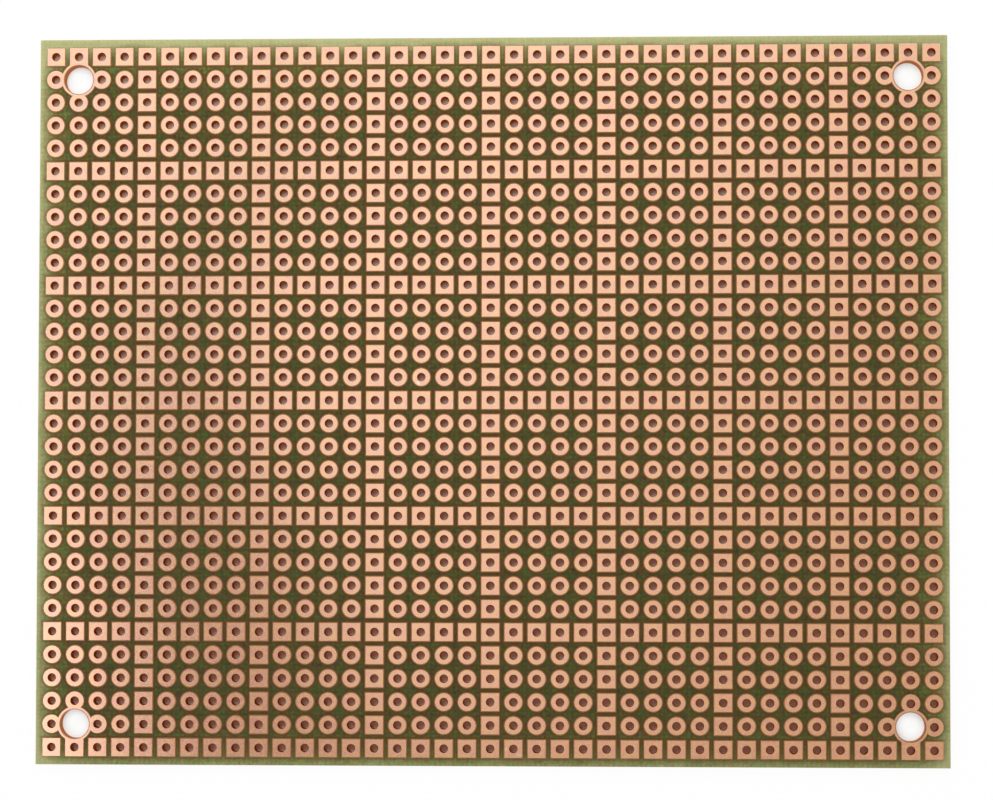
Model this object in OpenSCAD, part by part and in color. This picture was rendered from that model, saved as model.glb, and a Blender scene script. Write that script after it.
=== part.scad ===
// Prototype board: a drilled substrate of glass-epoxy with a plated-through copper pad at every place of a
// square grid. Each pad is one piece of copper: a land on both faces and the lining of the hole between.
// The origin is at the middle of the board, in the plane of the lower lands. X runs along the rows of
// holes, Y across them and Z up.

/* [Board] */
// Length of the board, along X
board_l = 100; // [60:1:120]
// Width of the board, along Y
board_w = 80; // [50:1:100]
// Thickness of the substrate without its copper
substrate_t = 1.53; // [0.8:0.01:3.2]
// Least width of bare substrate between the outer pads and the board's edge
edge_clear = 0.5; // [0.3:0.05:3]

/* [Lead holes] */
// Distance between the centres of neighbouring holes
pitch = 2.54; // [2.4:0.01:3]
// Diameter of a finished lead hole
lead_hole_d = 0.96; // [0.6:0.01:1.3]

/* [Pads] */
// Width of bare substrate between neighbouring pads
pad_gap = 0.54; // [0.3:0.01:0.9]
// Rows and columns from one line of square pads to the next, counted from the middle ones
square_step = 5; // [2:1:10]

/* [Copper] */
// Thickness of a finished land, foil and plating together
land_t = 0.06; // [0.03:0.005:0.15]
// Thickness of the copper plated on the wall of a drilled hole
plating_t = 0.03; // [0.02:0.005:0.06]

/* [Mounting holes] */
// Diameter of a finished mounting hole
mount_hole_d = 3.2; // [2.6:0.05:3.4]
// Width of the copper ring round a mounting hole
mount_ring_w = 0.3; // [0.2:0.01:0.35]
// Places from the outer row or column in to a mounting hole
mount_inset = 1; // [1:1:5]

/* [Hidden] */
$fn = 48;
SUBSTRATE_COLOUR = "#6b6336";
COPPER_COLOUR = "#efb496";

pad_w = pitch - pad_gap;
lead_drill_d = lead_hole_d + 2 * plating_t;
mount_drill_d = mount_hole_d + 2 * plating_t;
mount_land_d = mount_hole_d + 2 * mount_ring_w;
over_copper_t = substrate_t + 2 * land_t;
// How far a cut runs past the faces that it goes through
cut_over = 0.5;

// A place on the grid is [column, row], counted from the middle of the board. The grid ends where a
// further pad would come too near the board's edge.
half_columns = floor((board_l / 2 - edge_clear - pad_w / 2) / pitch);
half_rows = floor((board_w / 2 - edge_clear - pad_w / 2) / pitch);
mount_column = half_columns - mount_inset;
mount_row = half_rows - mount_inset;
places = [for (row = [-half_rows:half_rows]) for (column = [-half_columns:half_columns]) [column, row]];
mounts = [for (row = [-mount_row, mount_row]) for (column = [-mount_column, mount_column]) [column, row]];
steps_aside = [[1, 0], [-1, 0], [0, 1], [0, -1]];

function steps_to_mount(place) = abs(abs(place.x) - mount_column) + abs(abs(place.y) - mount_row);
function is_mount(place) = steps_to_mount(place) == 0;
// The ring of a mounting hole runs into the four pads beside it
function stands_alone(place) = steps_to_mount(place) > 1;
function is_square(place) = place.x % square_step == 0 || place.y % square_step == 0;
function hole_d(place) = is_mount(place) ? mount_hole_d : lead_hole_d;
function drill_d(place) = is_mount(place) ? mount_drill_d : lead_drill_d;

module at(place) {
  translate(pitch * place) children();
}

module pad_outline(place) {
  at(place)
    if (is_square(place)) square(pad_w, center = true);
    else circle(d = pad_w);
}

// One piece of copper, with the outline of its lands as children and a lined hole at each of its places
module plated_copper(own_places) {
  difference() {
    union() {
      for (z = [0, over_copper_t - land_t])
        translate([0, 0, z]) linear_extrude(land_t) children();
      for (place = own_places)
        at(place) cylinder(d = drill_d(place), h = over_copper_t);
    }
    for (place = own_places)
      at(place) translate([0, 0, -cut_over]) cylinder(d = hole_d(place), h = over_copper_t + 2 * cut_over);
  }
}

module substrate() {
  color(SUBSTRATE_COLOUR)
    translate([0, 0, land_t])
      linear_extrude(substrate_t)
        difference() {
          square([board_l, board_w], center = true);
          for (place = places) at(place) circle(d = drill_d(place));
        }
}

module round_pads() {
  color(COPPER_COLOUR)
    for (place = places)
      if (stands_alone(place) && !is_square(place)) plated_copper([place]) pad_outline(place);
}

module square_pads() {
  color(COPPER_COLOUR)
    for (place = places)
      if (stands_alone(place) && is_square(place)) plated_copper([place]) pad_outline(place);
}

module mounting_lands() {
  color(COPPER_COLOUR)
    for (mount = mounts) {
      beside = [for (step = steps_aside) mount + step];
      plated_copper(concat([mount], beside)) {
        at(mount) circle(d = mount_land_d);
        for (place = beside) pad_outline(place);
      }
    }
}

substrate();
round_pads();
square_pads();
mounting_lands();
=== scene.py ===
import math

import bmesh
import bpy
from mathutils import Matrix, Vector


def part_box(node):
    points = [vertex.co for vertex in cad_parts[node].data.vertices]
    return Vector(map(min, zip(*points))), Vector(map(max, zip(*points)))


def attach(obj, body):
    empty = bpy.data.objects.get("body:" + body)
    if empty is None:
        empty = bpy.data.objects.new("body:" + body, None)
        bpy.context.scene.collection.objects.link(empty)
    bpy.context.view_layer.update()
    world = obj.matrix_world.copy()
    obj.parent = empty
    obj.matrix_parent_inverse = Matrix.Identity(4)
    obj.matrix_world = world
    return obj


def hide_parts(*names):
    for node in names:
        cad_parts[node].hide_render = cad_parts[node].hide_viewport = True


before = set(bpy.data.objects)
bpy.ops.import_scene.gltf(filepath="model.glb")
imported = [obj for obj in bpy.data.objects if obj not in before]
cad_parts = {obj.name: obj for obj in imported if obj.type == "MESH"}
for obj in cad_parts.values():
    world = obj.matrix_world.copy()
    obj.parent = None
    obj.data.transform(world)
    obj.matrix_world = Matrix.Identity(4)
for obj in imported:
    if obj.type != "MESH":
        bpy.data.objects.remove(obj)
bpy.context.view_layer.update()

# --- Viewpoint ---------------------------------------------------------------
# The board lies flat and is looked at from above, a little off its middle,
# through a lens long enough to keep its edges almost parallel.

scene = bpy.context.scene
mm = 0.001
top_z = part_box("mounting_lands")[1].z
eye_at = Vector((16.77 * mm, -15.00 * mm, top_z + 350 * mm))
look_at = Vector((0.65 * mm, 0.02 * mm, top_z))
roll = math.radians(0.076)

back = (eye_at - look_at).normalized()
right = Vector((0, 1, 0)).cross(back).normalized()
upright = Matrix((right, back.cross(right), back)).transposed()
eye = bpy.data.cameras.new("eye")
eye.lens = 115.94
eye.sensor_width = 36
eye.clip_start = 0.01
eye.clip_end = 20
eye_object = bpy.data.objects.new("eye", eye)
eye_object.matrix_world = Matrix.Translation(eye_at) @ (upright @ Matrix.Rotation(roll, 3, "Z")).to_4x4()
scene.collection.objects.link(eye_object)
scene.camera = eye_object

# --- Substrate ---------------------------------------------------------------
# A sheet of glass cloth pressed in epoxy, sheared to size and drilled through
# at every place of the 0.1 inch grid. Where no copper was left by the etching
# it is bare: olive between the pads, and paler along its cut edges, where the
# light that passes through the sheet is painted in.

board_low, board_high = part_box("substrate")
board_l = board_high.x - board_low.x
board_w = board_high.y - board_low.y
board_t = board_high.z - board_low.z
pitch = 2.54 * mm
pad_w = 2 * mm
land_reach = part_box("square_pads")[1]
half_columns = round((land_reach.x - pad_w / 2) / pitch)
half_rows = round((land_reach.y - pad_w / 2) / pitch)
mount_column = half_columns - 1
mount_row = half_rows - 1
lead_drill_r = 0.51 * mm
mount_drill_r = 1.63 * mm
mount_land_r = 1.9 * mm
square_step = 5
lead_sides = 16
mount_sides = 48
weld = 0.01 * mm


def add(tree, kind, **settings):
    """A new node of this kind in the tree, with its settings made."""
    node = tree.nodes.new(kind)
    for name, value in settings.items():
        setattr(node, name, value)
    return node


def wire(tree, source, sink):
    """Joins an output to an input, or writes a plain value into the input."""
    if isinstance(source, bpy.types.NodeSocket):
        tree.links.new(source, sink)
    else:
        sink.default_value = source


def math_node(tree, operation, *values):
    """The result of one sum on fields, numbers or both."""
    node = add(tree, "ShaderNodeMath", operation=operation)
    for sink, value in zip(node.inputs, values):
        wire(tree, value, sink)
    return node.outputs[0]


def new_tree(name, inputs, outputs):
    """An empty Geometry Nodes tree with named sockets, and its two end nodes."""
    tree = bpy.data.node_groups.new(name, "GeometryNodeTree")
    for side, sockets in (("INPUT", inputs), ("OUTPUT", outputs)):
        for socket_name, kind in sockets.items():
            tree.interface.new_socket(socket_name, in_out=side, socket_type="NodeSocket" + kind)
    return tree, add(tree, "NodeGroupInput").outputs, add(tree, "NodeGroupOutput").inputs


grid_inputs = {
    "Pitch": "Float",
    "Half columns": "Int",
    "Half rows": "Int",
    "Mount column": "Int",
    "Mount row": "Int",
}


def grid_tree():
    """The places of the hole grid, each with its steps to the nearest mounting hole."""
    tree, given, result = new_tree(
        "hole grid",
        grid_inputs,
        {"Places": "Geometry", "Column": "Float", "Row": "Float", "Steps to mount": "Float"},
    )
    grid = add(tree, "GeometryNodeMeshGrid")
    for axis, half in (("X", "Half columns"), ("Y", "Half rows")):
        steps = math_node(tree, "MULTIPLY", given[half], 2.0)
        wire(tree, math_node(tree, "MULTIPLY", steps, given["Pitch"]), grid.inputs["Size " + axis])
        wire(tree, math_node(tree, "ADD", steps, 1.0), grid.inputs["Vertices " + axis])
    wire(tree, grid.outputs["Mesh"], result["Places"])

    place = add(tree, "ShaderNodeSeparateXYZ")
    wire(tree, add(tree, "GeometryNodeInputPosition").outputs[0], place.inputs[0])
    apart = []
    for axis, name, mount in (("X", "Column", "Mount column"), ("Y", "Row", "Mount row")):
        step = math_node(tree, "ROUND", math_node(tree, "DIVIDE", place.outputs[axis], given["Pitch"]))
        wire(tree, step, result[name])
        off = math_node(tree, "SUBTRACT", math_node(tree, "ABSOLUTE", step), given[mount])
        apart.append(math_node(tree, "ABSOLUTE", off))
    wire(tree, math_node(tree, "ADD", *apart), result["Steps to mount"])
    return tree


def use_grid(tree, given):
    """The grid inside another tree, fed from that tree's inputs of the same names."""
    grid = add(tree, "GeometryNodeGroup", node_tree=hole_grid)
    for sink in grid.inputs:
        wire(tree, given[sink.name], sink)
    return grid.outputs


def finish_tree(tree, geometry, material, sink):
    """Realize Instances and Set Material, which end each tree."""
    real = add(tree, "GeometryNodeRealizeInstances")
    wire(tree, geometry, real.inputs["Geometry"])
    coat = add(tree, "GeometryNodeSetMaterial")
    wire(tree, real.outputs["Geometry"], coat.inputs["Geometry"])
    wire(tree, material, coat.inputs["Material"])
    wire(tree, coat.outputs["Geometry"], sink)


def upward(tree, height):
    """A step of this height, straight up."""
    step = add(tree, "ShaderNodeCombineXYZ")
    wire(tree, height, step.inputs["Z"])
    return step.outputs["Vector"]


def sheet_tree():
    """A flat sheet with the lead holes and the mounting holes drilled through it."""
    tree, given, result = new_tree(
        "drilled sheet",
        {
            "Geometry": "Geometry",
            "Length": "Float",
            "Width": "Float",
            "Thickness": "Float",
            "Underside": "Float",
            "Lead hole radius": "Float",
            "Lead hole sides": "Int",
            "Mounting hole radius": "Float",
            "Mounting hole sides": "Int",
            **grid_inputs,
            "Material": "Material",
        },
        {"Geometry": "Geometry"},
    )
    grid = use_grid(tree, given)
    is_mount = math_node(tree, "LESS_THAN", grid["Steps to mount"], 0.5)
    is_lead = math_node(tree, "SUBTRACT", 1.0, is_mount)
    outlines = add(tree, "GeometryNodeJoinGeometry")
    for name, chosen in (("Lead", is_lead), ("Mounting", is_mount)):
        circle = add(tree, "GeometryNodeCurvePrimitiveCircle", mode="RADIUS")
        wire(tree, given[name + " hole sides"], circle.inputs["Resolution"])
        wire(tree, given[name + " hole radius"], circle.inputs["Radius"])
        holes = add(tree, "GeometryNodeInstanceOnPoints")
        wire(tree, grid["Places"], holes.inputs["Points"])
        wire(tree, chosen, holes.inputs["Selection"])
        wire(tree, circle.outputs["Curve"], holes.inputs["Instance"])
        real = add(tree, "GeometryNodeRealizeInstances")
        wire(tree, holes.outputs["Instances"], real.inputs["Geometry"])
        wire(tree, real.outputs["Geometry"], outlines.inputs["Geometry"])
    rim = add(tree, "GeometryNodeCurvePrimitiveQuadrilateral", mode="RECTANGLE")
    wire(tree, given["Length"], rim.inputs["Width"])
    wire(tree, given["Width"], rim.inputs["Height"])
    wire(tree, rim.outputs["Curve"], outlines.inputs["Geometry"])

    face = add(tree, "GeometryNodeFillCurve")
    wire(tree, outlines.outputs["Geometry"], face.inputs["Curve"])
    body = add(tree, "GeometryNodeExtrudeMesh", mode="FACES")
    wire(tree, face.outputs["Mesh"], body.inputs["Mesh"])
    wire(tree, upward(tree, given["Thickness"]), body.inputs["Offset"])
    body.inputs["Individual"].default_value = False
    underside = add(tree, "GeometryNodeFlipFaces")
    wire(tree, face.outputs["Mesh"], underside.inputs["Mesh"])
    both = add(tree, "GeometryNodeJoinGeometry")
    wire(tree, body.outputs["Mesh"], both.inputs["Geometry"])
    wire(tree, underside.outputs["Mesh"], both.inputs["Geometry"])
    closed = add(tree, "GeometryNodeMergeByDistance")
    wire(tree, both.outputs["Geometry"], closed.inputs["Geometry"])
    closed.inputs["Distance"].default_value = weld
    moved = add(tree, "GeometryNodeTransform")
    wire(tree, closed.outputs["Geometry"], moved.inputs["Geometry"])
    wire(tree, upward(tree, given["Underside"]), moved.inputs["Translation"])
    finish_tree(tree, moved.outputs["Geometry"], given["Material"], result["Geometry"])
    return tree


def grow(name, start, tree, **values):
    """Runs a tree on a starting mesh and keeps the result as a plain mesh object."""
    piece = bpy.data.objects.new(name, start)
    scene.collection.objects.link(piece)
    maker = piece.modifiers.new(tree.name, "NODES")
    maker.node_group = tree
    for socket in tree.interface.items_tree:
        key = socket.name.lower().replace(" ", "_")
        if socket.in_out == "INPUT" and key in values:
            maker[socket.identifier] = values[key]
    bpy.context.view_layer.update()
    seen = bpy.context.evaluated_depsgraph_get()
    piece.data = bpy.data.meshes.new_from_object(piece.evaluated_get(seen), depsgraph=seen)
    piece.modifiers.clear()
    while len(piece.data.materials) > 1:
        piece.data.materials.pop(index=0)
    piece.data.name = name
    return piece


def split(tree, vector):
    """The X, Y and Z of a vector."""
    parts = add(tree, "ShaderNodeSeparateXYZ")
    wire(tree, vector, parts.inputs[0])
    return parts.outputs


def flat_length(tree, x, y):
    """How long the step (x, y) is, measured straight."""
    step = add(tree, "ShaderNodeCombineXYZ")
    wire(tree, x, step.inputs["X"])
    wire(tree, y, step.inputs["Y"])
    length = add(tree, "ShaderNodeVectorMath", operation="LENGTH")
    wire(tree, step.outputs["Vector"], length.inputs[0])
    return length.outputs["Value"]


def noise(tree, place, blob, detail):
    """Cloudy noise whose blobs are about this size."""
    texture = add(tree, "ShaderNodeTexNoise")
    wire(tree, place, texture.inputs["Vector"])
    texture.inputs["Scale"].default_value = 1 / blob
    texture.inputs["Detail"].default_value = detail
    return texture.outputs


def bands(tree, place, direction, width, distortion, detail):
    """Uneven bands of this width, one after another in the direction."""
    texture = add(tree, "ShaderNodeTexWave", bands_direction=direction)
    wire(tree, place, texture.inputs["Vector"])
    texture.inputs["Scale"].default_value = math.pi / 10 / width
    texture.inputs["Distortion"].default_value = distortion
    texture.inputs["Detail"].default_value = detail
    return texture.outputs["Fac"]


def remap(tree, value, old, new, **settings):
    """The value, with the range old laid over the range new."""
    laid = add(tree, "ShaderNodeMapRange", **settings)
    wire(tree, value, laid.inputs["Value"])
    for name, limit in zip(("From Min", "From Max", "To Min", "To Max"), (*old, *new)):
        laid.inputs[name].default_value = limit
    return laid.outputs["Result"]


def ramp(tree, value, *stops):
    """A colour for each value, shaded from each stop to the next."""
    shades = add(tree, "ShaderNodeValToRGB")
    wire(tree, value, shades.inputs["Fac"])
    steps = shades.color_ramp.elements
    for step, (position, colour) in zip(steps, (stops[0], stops[-1])):
        step.position = position
        step.color = (*colour, 1)
    for position, colour in stops[1:-1]:
        steps.new(position).color = (*colour, 1)
    return shades.outputs["Color"]


def blend(tree, share, under, over):
    """One colour laid over another, as far as the share says at each point."""
    mix = add(tree, "ShaderNodeMix", data_type="RGBA")
    wire(tree, share, mix.inputs["Factor"])
    wire(tree, under, mix.inputs["A"])
    wire(tree, over, mix.inputs["B"])
    return mix.outputs["Result"]


def relief(tree, height, strength, depth, shader):
    """Gives a shader this unevenness."""
    bump = add(tree, "ShaderNodeBump")
    wire(tree, height, bump.inputs["Height"])
    bump.inputs["Strength"].default_value = strength
    bump.inputs["Distance"].default_value = depth
    wire(tree, bump.outputs["Normal"], shader.inputs["Normal"])


def glass_epoxy():
    """Bare glass-epoxy sheet: etched, matt, a little see-through, with painted light along its cut
    edges.
    """
    material = bpy.data.materials.new("glass_epoxy")
    material.use_nodes = True
    tree = material.node_tree
    shader = tree.nodes["Principled BSDF"]
    place = add(tree, "ShaderNodeTexCoord").outputs["Object"]
    along = split(tree, place)

    # Painted light: a pale glow, standing in for light that passes through the
    # sheet, fades inwards from each cut edge. It is painted strongest along the far
    # edge, on the lit side, and weakest along the near one, on the shaded side
    edge_light_start = 0.6 * mm
    edge_light_wander = 1.2 * mm
    edge_light_fade = 1.6 * mm
    wander = math_node(tree, "MULTIPLY", noise(tree, place, 4 * mm, 3)["Fac"], edge_light_wander)
    edge_light = 0.0
    for axis, side, half, strength in (
        ("X", -1, board_l / 2, 0.90),
        ("X", 1, board_l / 2, 0.84),
        ("Y", -1, board_w / 2, 0.62),
        ("Y", 1, board_w / 2, 1.40),
    ):
        outward = math_node(tree, "MULTIPLY_ADD", along[axis], side, edge_light_start - half)
        fade = math_node(tree, "DIVIDE", math_node(tree, "SUBTRACT", outward, wander), edge_light_fade)
        edge_light = math_node(tree, "MULTIPLY_ADD", math_node(tree, "EXPONENT", fade), strength, edge_light)
    edge_light = math_node(tree, "MINIMUM", edge_light, 1.0)
    clear = math_node(tree, "SUBTRACT", 1.0, edge_light)
    olive = (0.098, 0.096, 0.0195)
    pale_olive = (0.215, 0.214, 0.051)
    straw = (0.51, 0.505, 0.24)
    lit_edge_colour = ramp(tree, edge_light, (0, olive), (0.3, pale_olive), (1, straw))

    # The weave of the cloth, faint under the resin, whose own tint wanders too
    thread = 0.5 * mm
    weave = [bands(tree, place, direction, thread, 1.5, 2) for direction in ("X", "Y")]
    faint = math_node(tree, "MULTIPLY", math_node(tree, "MULTIPLY", *weave), 0.25)
    grain = math_node(tree, "ADD", faint, noise(tree, place, 0.35 * mm, 2)["Fac"])
    resin = noise(tree, place, 0.45 * mm, 2)
    green_share = add(tree, "ShaderNodeSeparateColor")
    wire(tree, resin["Color"], green_share.inputs["Color"])
    shade = add(tree, "ShaderNodeHueSaturation")
    wire(tree, math_node(tree, "MULTIPLY_ADD", clear, 0.8, 0.2), shade.inputs["Fac"])
    wire(tree, lit_edge_colour, shade.inputs["Color"])
    wire(tree, remap(tree, resin["Fac"], (0.3, 0.7), (0.41, 0.59)), shade.inputs["Hue"])
    depth = remap(tree, green_share.outputs["Green"], (0.3, 0.7), (0.84, 1.14))
    wire(tree, depth, shade.inputs["Saturation"])
    wire(tree, remap(tree, grain, (0.25, 0.95), (0.45, 1.55)), shade.inputs["Value"])

    # Painted shade: the sheet is painted darker and browner in a band round each
    # land, coppery right against it, so each point needs its distance from the
    # nearest one
    off = []
    on_line = []
    off_mount = []
    for axis, half, mount in (
        ("X", half_columns, mount_column),
        ("Y", half_rows, mount_row),
    ):
        across = along[axis]
        step = math_node(tree, "ROUND", math_node(tree, "DIVIDE", across, pitch))
        step = math_node(tree, "MINIMUM", math_node(tree, "MAXIMUM", step, -half), half)
        on_line.append(math_node(tree, "FLOORED_MODULO", step, square_step))
        off.append(math_node(tree, "ABSOLUTE", math_node(tree, "MULTIPLY_ADD", step, -pitch, across)))
        off_mount.append(math_node(tree, "SUBTRACT", math_node(tree, "ABSOLUTE", across), mount * pitch))
    is_square = math_node(tree, "LESS_THAN", math_node(tree, "MINIMUM", *on_line), 0.5)
    from_square = math_node(tree, "MAXIMUM", *off)
    from_round = flat_length(tree, *off)
    spare = math_node(tree, "SUBTRACT", from_square, from_round)
    from_land = math_node(tree, "MULTIPLY_ADD", is_square, spare, from_round)
    from_land = math_node(tree, "SUBTRACT", from_land, pad_w / 2)
    from_mount = math_node(tree, "SUBTRACT", flat_length(tree, *off_mount), mount_land_r)
    from_copper = math_node(tree, "MINIMUM", from_land, from_mount)

    # The painted shade is deepest against the copper, and in the necks between square lands
    land_shade_w = 0.40 * mm
    neck_w = 0.3 * mm
    neck_gain = 1.5
    land_shade = remap(tree, from_copper, (0, land_shade_w), (1, 0), interpolation_type="SMOOTHSTEP")
    neck = remap(tree, from_square, (pitch / 2 - neck_w, pitch / 2), (1, neck_gain))
    painted_shade_share = math_node(tree, "MINIMUM", math_node(tree, "MULTIPLY", land_shade, neck), 1.0)
    brown = (0.108, 0.052, 0.010)
    coppery_shade = (0.44, 0.23, 0.10)
    # The colour of the painted shade, from brown to coppery against the land
    land_shade_colour = ramp(tree, land_shade, (0.82, brown), (1, coppery_shade))
    top_colour = blend(tree, math_node(tree, "MULTIPLY", painted_shade_share, clear), shade.outputs["Color"], land_shade_colour)

    # Cut sides: ply lines of the cloth, rough and pale
    ply = 0.19 * mm
    plies = bands(tree, place, "Z", ply, 2.5, 3)
    side_colour = blend(tree, plies, (0.20, 0.19, 0.07, 1), (0.40, 0.385, 0.20, 1))
    facing = split(tree, add(tree, "ShaderNodeNewGeometry").outputs["True Normal"])
    is_side = math_node(tree, "LESS_THAN", math_node(tree, "ABSOLUTE", facing["Z"]), 0.5)
    wire(tree, blend(tree, is_side, top_colour, side_colour), shader.inputs["Base Color"])

    wire(tree, remap(tree, grain, (0, 1), (0.42, 0.60)), shader.inputs["Roughness"])
    shader.inputs["Specular IOR Level"].default_value = 0.2
    shader.inputs["Subsurface Weight"].default_value = 0.6
    shader.inputs["Subsurface Radius"].default_value = (1.0, 0.9, 0.5)
    shader.inputs["Subsurface Scale"].default_value = 1 * mm
    height = math_node(tree, "ADD", grain, math_node(tree, "MULTIPLY", is_side, plies))
    relief(tree, height, 0.5, 0.02 * mm, shader)
    return material


hole_grid = grid_tree()
grid_values = {
    "pitch": pitch,
    "half_columns": half_columns,
    "half_rows": half_rows,
    "mount_column": mount_column,
    "mount_row": mount_row,
}
substrate = grow(
    "glass_epoxy_sheet",
    bpy.data.meshes.new("sheet start"),
    sheet_tree(),
    length=board_l,
    width=board_w,
    thickness=board_t,
    underside=board_low.z,
    lead_hole_radius=lead_drill_r,
    lead_hole_sides=lead_sides,
    mounting_hole_radius=mount_drill_r,
    mounting_hole_sides=mount_sides,
    material=glass_epoxy(),
    **grid_values,
)
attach(substrate, "root")
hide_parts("substrate")

# --- Round pads --------------------------------------------------------------
# Most holes have a round land of bare copper on each face of the sheet. The
# lands are etched from foil, and copper plated through the hole joins them,
# so each pad is one piece, held on like an eyelet.

lead_hole_r = 0.48 * mm
etch_slope = 0.03 * mm
pads_low, pads_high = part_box("round_pads")


def eyelet(name, reach):
    """One plated-through pad. reach(angle) gives how far its lands go that way."""
    shell = bmesh.new()
    rings = []
    for z, radius, slope in (
        (pads_high.z, None, etch_slope),
        (pads_high.z, lead_hole_r, 0),
        (pads_low.z, lead_hole_r, 0),
        (pads_low.z, None, etch_slope),
        (board_low.z, None, 0),
        (board_low.z, lead_drill_r, 0),
        (board_high.z, lead_drill_r, 0),
        (board_high.z, None, 0),
    ):
        ring = []
        for side in range(lead_sides):
            angle = math.tau * side / lead_sides
            r = radius or reach(angle) * (1 - slope / (pad_w / 2))
            ring.append(shell.verts.new((r * math.cos(angle), r * math.sin(angle), z)))
        rings.append(ring)
    for ring, after in zip(rings, rings[1:] + rings[:1]):
        for side in range(lead_sides):
            beside = (side + 1) % lead_sides
            shell.faces.new((ring[side], ring[beside], after[beside], after[side]))
    bmesh.ops.recalc_face_normals(shell, faces=shell.faces)
    mesh = bpy.data.meshes.new(name)
    shell.to_mesh(mesh)
    shell.free()
    return mesh


def pads_tree():
    """Repeats the given pad over the grid, on the square places or on the others."""
    tree, given, result = new_tree(
        "pads on the grid",
        {
            "Geometry": "Geometry",
            "Square places": "Bool",
            "Square step": "Int",
            **grid_inputs,
            "Material": "Material",
        },
        {"Geometry": "Geometry"},
    )
    grid = use_grid(tree, given)
    stands_alone = math_node(tree, "GREATER_THAN", grid["Steps to mount"], 1.5)
    on_line = []
    for name in ("Column", "Row"):
        past_line = math_node(tree, "FLOORED_MODULO", grid[name], given["Square step"])
        on_line.append(math_node(tree, "LESS_THAN", past_line, 0.5))
    is_square = math_node(tree, "MAXIMUM", *on_line)
    same_kind = math_node(tree, "COMPARE", is_square, given["Square places"], 0.1)
    pads = add(tree, "GeometryNodeInstanceOnPoints")
    wire(tree, grid["Places"], pads.inputs["Points"])
    wire(tree, math_node(tree, "MULTIPLY", stands_alone, same_kind), pads.inputs["Selection"])
    wire(tree, given["Geometry"], pads.inputs["Instance"])
    finish_tree(tree, pads.outputs["Instances"], given["Material"], result["Geometry"])
    return tree


def soft_edges(mesh, angle):
    """Smooth shading on round walls, with the corners left sharp."""
    mesh.shade_smooth()
    mesh.set_sharp_from_angle(angle=math.radians(angle))


def bare_copper():
    """Bare copper: scrubbed satin on the lands, duller where it was etched or plated."""
    material = bpy.data.materials.new("bare_copper")
    material.use_nodes = True
    tree = material.node_tree
    shader = tree.nodes["Principled BSDF"]
    place = add(tree, "ShaderNodeTexCoord").outputs["Object"]
    along = split(tree, place)
    facing = split(tree, add(tree, "ShaderNodeNewGeometry").outputs["True Normal"])
    tilt = 0.7
    is_wall = math_node(tree, "LESS_THAN", math_node(tree, "ABSOLUTE", facing["Z"]), tilt)
    is_top = math_node(tree, "GREATER_THAN", facing["Z"], tilt)

    # Handling leaves the lands rosy in some spots and golden in others, and
    # the plated walls of the holes stay raw
    rosy = (0.90, 0.465, 0.385, 1)
    golden = (1.00, 0.62, 0.31, 1)
    raw = (0.68, 0.23, 0.045, 1)
    blotch = noise(tree, place, 0.7 * mm, 2)["Fac"]
    fine = noise(tree, place, 0.32 * mm, 2)["Fac"]
    mottle = remap(tree, math_node(tree, "MULTIPLY_ADD", blotch, 0.8, fine), (0.50, 1.30), (0, 1))
    colour = blend(tree, is_wall, blend(tree, mottle, rosy, golden), raw)

    # Painted shade: a ring at the drilled edge of each mounting hole, on the land
    # and the wall, is painted darker, as a rounded-over edge mirroring dark
    # surroundings would look
    rim_shade_r = (1.61 * mm, 1.73 * mm)
    rim_shade_colour = (0.34, 0.15, 0.075, 1)
    off_mount = [
        math_node(tree, "SUBTRACT", math_node(tree, "ABSOLUTE", along[axis]), steps * pitch)
        for axis, steps in (("X", mount_column), ("Y", mount_row))
    ]
    rim = remap(tree, flat_length(tree, *off_mount), rim_shade_r, (1, 0))
    on_face = math_node(tree, "SUBTRACT", 1.0, math_node(tree, "MULTIPLY", is_wall, 0.5))
    colour = blend(tree, math_node(tree, "MULTIPLY", rim, on_face), colour, rim_shade_colour)

    # Painted highlights: bright glints on two pads of the upper face
    glint_colour = (1.0, 0.80, 0.56, 1)
    glinted = 0.0
    for x, y, half_l, half_w in (
        (-7.97, 1.88, 0.30, 0.36),
        (3.25, -38.78, 0.50, 0.16),
        (1.75, -38.15, 0.15, 0.28),
    ):
        off = [
            math_node(tree, "MULTIPLY_ADD", along[axis], 1 / (half * mm), -middle / half)
            for axis, middle, half in (("X", x, half_l), ("Y", y, half_w))
        ]
        glint = math_node(tree, "SUBTRACT", 1.0, flat_length(tree, *off))
        glinted = math_node(tree, "MAXIMUM", glinted, glint)
    colour = blend(tree, math_node(tree, "MULTIPLY", glinted, is_top), colour, glint_colour)
    wire(tree, colour, shader.inputs["Base Color"])
    shader.inputs["Metallic"].default_value = 1
    shader.inputs["Specular Tint"].default_value = (0.90, 0.60, 0.45, 1)

    # The strokes of the scrubbing run along the board's length
    wall_dulling = 0.35
    satin = remap(tree, fine, (0, 1), (0.16, 0.28))
    dull = math_node(tree, "ADD", satin, math_node(tree, "MULTIPLY", is_wall, wall_dulling))
    wire(tree, dull, shader.inputs["Roughness"])
    stroke = add(tree, "ShaderNodeMapping")
    wire(tree, place, stroke.inputs["Vector"])
    stroke.inputs["Scale"].default_value = (1, 7, 1)
    scrub = noise(tree, stroke.outputs["Vector"], 0.30 * mm, 2)["Fac"]
    relief(tree, math_node(tree, "ADD", fine, scrub), 0.25, 0.004 * mm, shader)
    return material


copper = bare_copper()
pads_on_grid = pads_tree()
corner_angle = 30
round_pads = grow(
    "round_eyelets",
    eyelet("round pad", lambda angle: pad_w / 2),
    pads_on_grid,
    square_places=False,
    square_step=square_step,
    material=copper,
    **grid_values,
)
soft_edges(round_pads.data, corner_angle)
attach(round_pads, "root")
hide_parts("round_pads")

# --- Square pads -------------------------------------------------------------
# Every fifth column and every fifth row, counted from the middle, has square
# lands, so that places can be counted without a printed scale. They are etched
# and plated through just as the round ones are.


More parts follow.
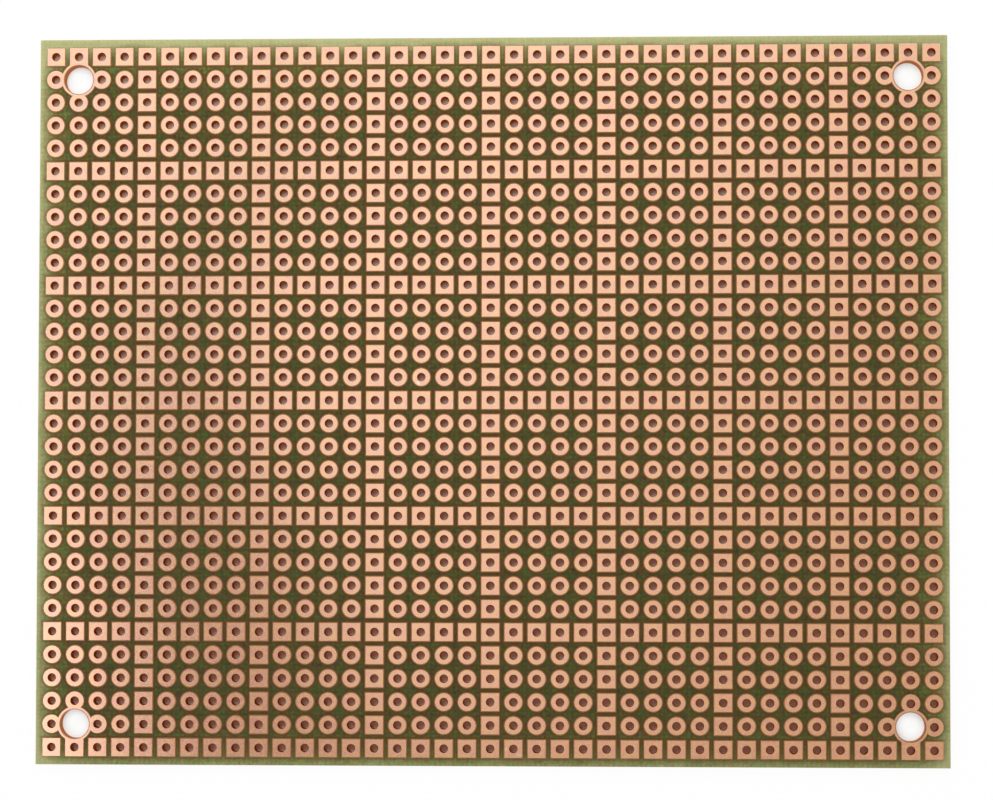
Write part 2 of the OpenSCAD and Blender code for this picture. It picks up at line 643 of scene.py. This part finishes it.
def square_reach(angle):
    """How far a square land goes from its middle at this angle."""
    return pad_w / 2 / max(abs(math.cos(angle)), abs(math.sin(angle)))


square_pads = grow(
    "square_eyelets",
    eyelet("square pad", square_reach),
    pads_on_grid,
    square_places=True,
    square_step=square_step,
    material=copper,
    **grid_values,
)
soft_edges(square_pads.data, corner_angle)
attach(square_pads, "root")
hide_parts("square_pads")

# --- Mounting lands ----------------------------------------------------------
# Each of the four screw holes near the corners is plated through too, and its
# narrow ring runs into the four pads round it, so all five are one piece.

mounting_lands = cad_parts["mounting_lands"]
for finish in mounting_lands.material_slots:
    finish.material = copper

# --- Table and light ---------------------------------------------------------
# The board lies on white paper. A window's cool light comes from the upper
# left, close by, and the rest of the room fills in.

paper_half = 1500 * mm
corners = [(x * paper_half, y * paper_half, 0) for x, y in ((-1, -1), (1, -1), (1, 1), (-1, 1))]
paper = bpy.data.meshes.new("paper")
paper.from_pydata(corners, [], [(0, 1, 2, 3)])
paper_material = bpy.data.materials.new("paper")
paper_material.use_nodes = True
tree = paper_material.node_tree
tree.nodes.clear()
matt = add(tree, "ShaderNodeBsdfDiffuse")
matt.inputs["Color"].default_value = (0.95, 0.92, 0.82, 1)
white = add(tree, "ShaderNodeEmission")

# It looks white wherever the open room reaches it, and keeps its own shading
# only within this reach of the board
shadow_reach = 4 * mm
open_sky = add(tree, "ShaderNodeAmbientOcclusion", samples=8)
open_sky.inputs["Distance"].default_value = shadow_reach
lit = ramp(
    tree,
    open_sky.outputs["AO"],
    (0.20, (0, 0, 0)),
    (0.32, (0.93, 0.93, 0.93)),
    (0.50, (0.96, 0.96, 0.96)),
    (0.90, (0.985, 0.985, 0.985)),
)
ray = add(tree, "ShaderNodeLightPath").outputs
seen = math_node(tree, "MAXIMUM", ray["Is Camera Ray"], ray["Is Glossy Ray"])
seen = math_node(tree, "MAXIMUM", seen, ray["Is Transmission Ray"])


def either(tree, share, first, second):
    """Two shaders, shared out by how much of the second is wanted."""
    mix = add(tree, "ShaderNodeMixShader")
    wire(tree, share, mix.inputs["Fac"])
    wire(tree, first.outputs[0], mix.inputs[1])
    wire(tree, second.outputs[0], mix.inputs[2])
    return mix


shown_paper = either(tree, math_node(tree, "MULTIPLY", seen, lit), matt, white)
wire(tree, shown_paper.outputs[0], add(tree, "ShaderNodeOutputMaterial").inputs["Surface"])
paper.materials.append(paper_material)
paper_object = bpy.data.objects.new("paper", paper)
scene.collection.objects.link(paper_object)

window = bpy.data.lights.new("window", "AREA")
window.shape = "SQUARE"
window.size = 150 * mm
window.energy = 0.36
window.color = (0.98, 0.99, 1.0)
window_object = bpy.data.objects.new("window", window)
window_object.location = (-40 * mm, 100 * mm, 195 * mm)
window_object.rotation_euler = (-window_object.location).to_track_quat("-Z", "Y").to_euler()
window_object.visible_camera = False
window_object.visible_glossy = False
scene.collection.objects.link(window_object)

# Two cards that only the copper's mirror image shows: a smoked one over the
# lower left, and a white one past that corner
card_height = 150 * mm


def card(name, corners, colour, shader_kind):
    """A flat card over the board, placed by the stretch of board that mirrors it to the eye."""
    away = card_height / (eye_at.z - top_z)
    points = []
    for x, y in corners:
        seen_at = Vector((x * mm, y * mm, top_z))
        over = seen_at + (seen_at - eye_at) * away
        points.append((over.x, over.y, top_z + card_height))
    sheet = bpy.data.meshes.new(name)
    sheet.from_pydata(points, [], [tuple(range(len(points)))])
    face = bpy.data.materials.new(name)
    face.use_nodes = True
    tree = face.node_tree
    tree.nodes.clear()
    shader = add(tree, shader_kind)
    shader.inputs["Color"].default_value = (*colour, 1)
    wire(tree, shader.outputs[0], add(tree, "ShaderNodeOutputMaterial").inputs["Surface"])
    sheet.materials.append(face)
    held = bpy.data.objects.new(name, sheet)
    for ray_kind in ("camera", "diffuse", "transmission", "volume_scatter", "shadow"):
        setattr(held, "visible_" + ray_kind, False)
    scene.collection.objects.link(held)


smoked_outline = (
    (-42, -60),
    (-44, -20),
    (-40, 10),
    (-25, 26),
    (-22, 44),
    (-20, 44),
    (-22, 24),
    (-32, 8),
    (-29, -2),
    (-20, -20),
    (-18, -36),
    (8, -42),
    (32, -44),
    (32, -60),
)
white_outline = ((-80, -70), (-45, -70), (-46, -16), (-80, -8))
card("smoked card", smoked_outline, (0.46, 0.39, 0.355), "ShaderNodeBsdfTransparent")
card("white card", white_outline, (1.7, 1.8, 2.0), "ShaderNodeEmission")

# The room: white to look at, brighter and cooler towards the window where the
# copper mirrors it, and an even pale grey as a fill light
world = bpy.data.worlds.new("room")
scene.world = world
world.use_nodes = True
tree = world.node_tree
tree.nodes.clear()
window_way = (-0.77, 0.64, 0)
towards = add(tree, "ShaderNodeVectorMath", operation="DOT_PRODUCT")
wire(tree, add(tree, "ShaderNodeTexCoord").outputs["Generated"], towards.inputs[0])
towards.inputs[1].default_value = window_way
mirrored = ramp(
    tree,
    remap(tree, towards.outputs["Value"], (-0.79, 0.91), (0, 1)),
    (0, (0.95, 0.92, 0.88)),
    (0.30, (0.58, 0.52, 0.45)),
    (0.40, (0.51, 0.45, 0.38)),
    (0.45, (0.73, 0.65, 0.53)),
    (0.49, (1.06, 1.05, 1.06)),
    (0.52, (1.19, 1.30, 1.40)),
    (0.55, (1.20, 1.32, 1.43)),
    (0.60, (1.10, 1.22, 1.34)),
    (1, (0.98, 1.00, 1.04)),
)
fill = add(tree, "ShaderNodeBackground")
fill.inputs["Color"].default_value = (0.335, 0.33, 0.335, 1)
shown = add(tree, "ShaderNodeBackground")
shown.inputs["Color"].default_value = (1, 1, 1, 1)
gloss = add(tree, "ShaderNodeBackground")
wire(tree, mirrored, gloss.inputs["Color"])
ray = add(tree, "ShaderNodeLightPath").outputs
seen = math_node(tree, "MAXIMUM", ray["Is Camera Ray"], ray["Is Transmission Ray"])
room = either(tree, seen, either(tree, ray["Is Glossy Ray"], fill, gloss), shown)
wire(tree, room.outputs[0], add(tree, "ShaderNodeOutputWorld").inputs["Surface"])

scene.view_settings.view_transform = "Standard"
